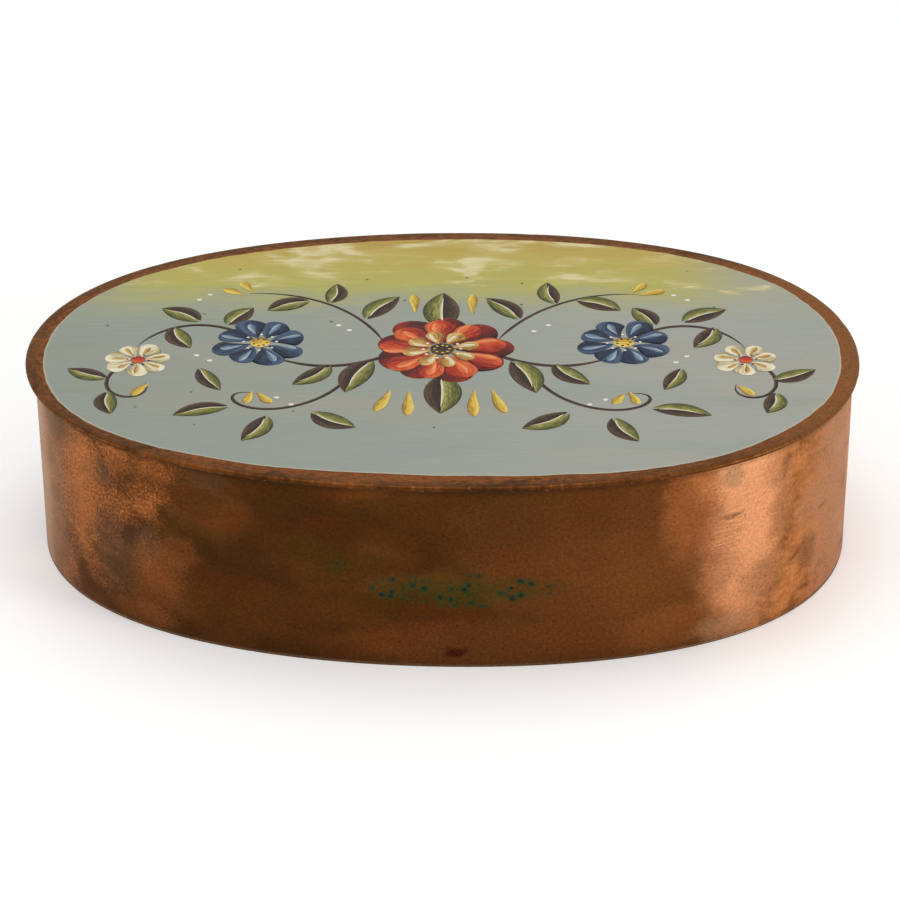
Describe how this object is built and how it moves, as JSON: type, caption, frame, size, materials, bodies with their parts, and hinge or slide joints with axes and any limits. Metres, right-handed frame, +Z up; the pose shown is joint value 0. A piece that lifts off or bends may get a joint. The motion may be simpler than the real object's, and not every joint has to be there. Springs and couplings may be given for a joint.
{
  "type": "trinket box",
  "caption": "Oval sheet-copper trinket box with a straight soldered wall and a flat lift-off lid whose hemmed edge borders a painted top.",
  "frame": {"origin": "on the table, under the middle of the lid", "axes": "+X along the box towards its fuller end, +Y to the back, where the seams are, +Z up"},
  "size_m": [0.23, 0.1484, 0.0567],
  "materials": {
    "wall_copper": null,
    "lid_copper": "bare copper, tarnished brown, handled smooth",
    "inner_copper": "bare copper inside, duller and pinker than outside",
    "solder": "soft solder, grey and dull",
    "painted_ground": "brushed-on oil enamel, satin"
  },
  "bodies": {
    "box_body": {"base_plate": "wall_copper", "body_wall": "wall_copper", "wall_seam_solder": "solder", "base_solder": "solder"},
    "lid": {"lid_plate": "lid_copper", "painted_ground": "painted_ground", "lid_flange": "inner_copper", "flange_seam_solder": "solder", "lid_solder": "solder"}
  },
  "joints": [
    {"name": "lid_lift", "type": "slide", "parent": "box_body", "child": "lid", "axis": [0, 0, 1], "range_m": [0, 0.12]}
  ]
}
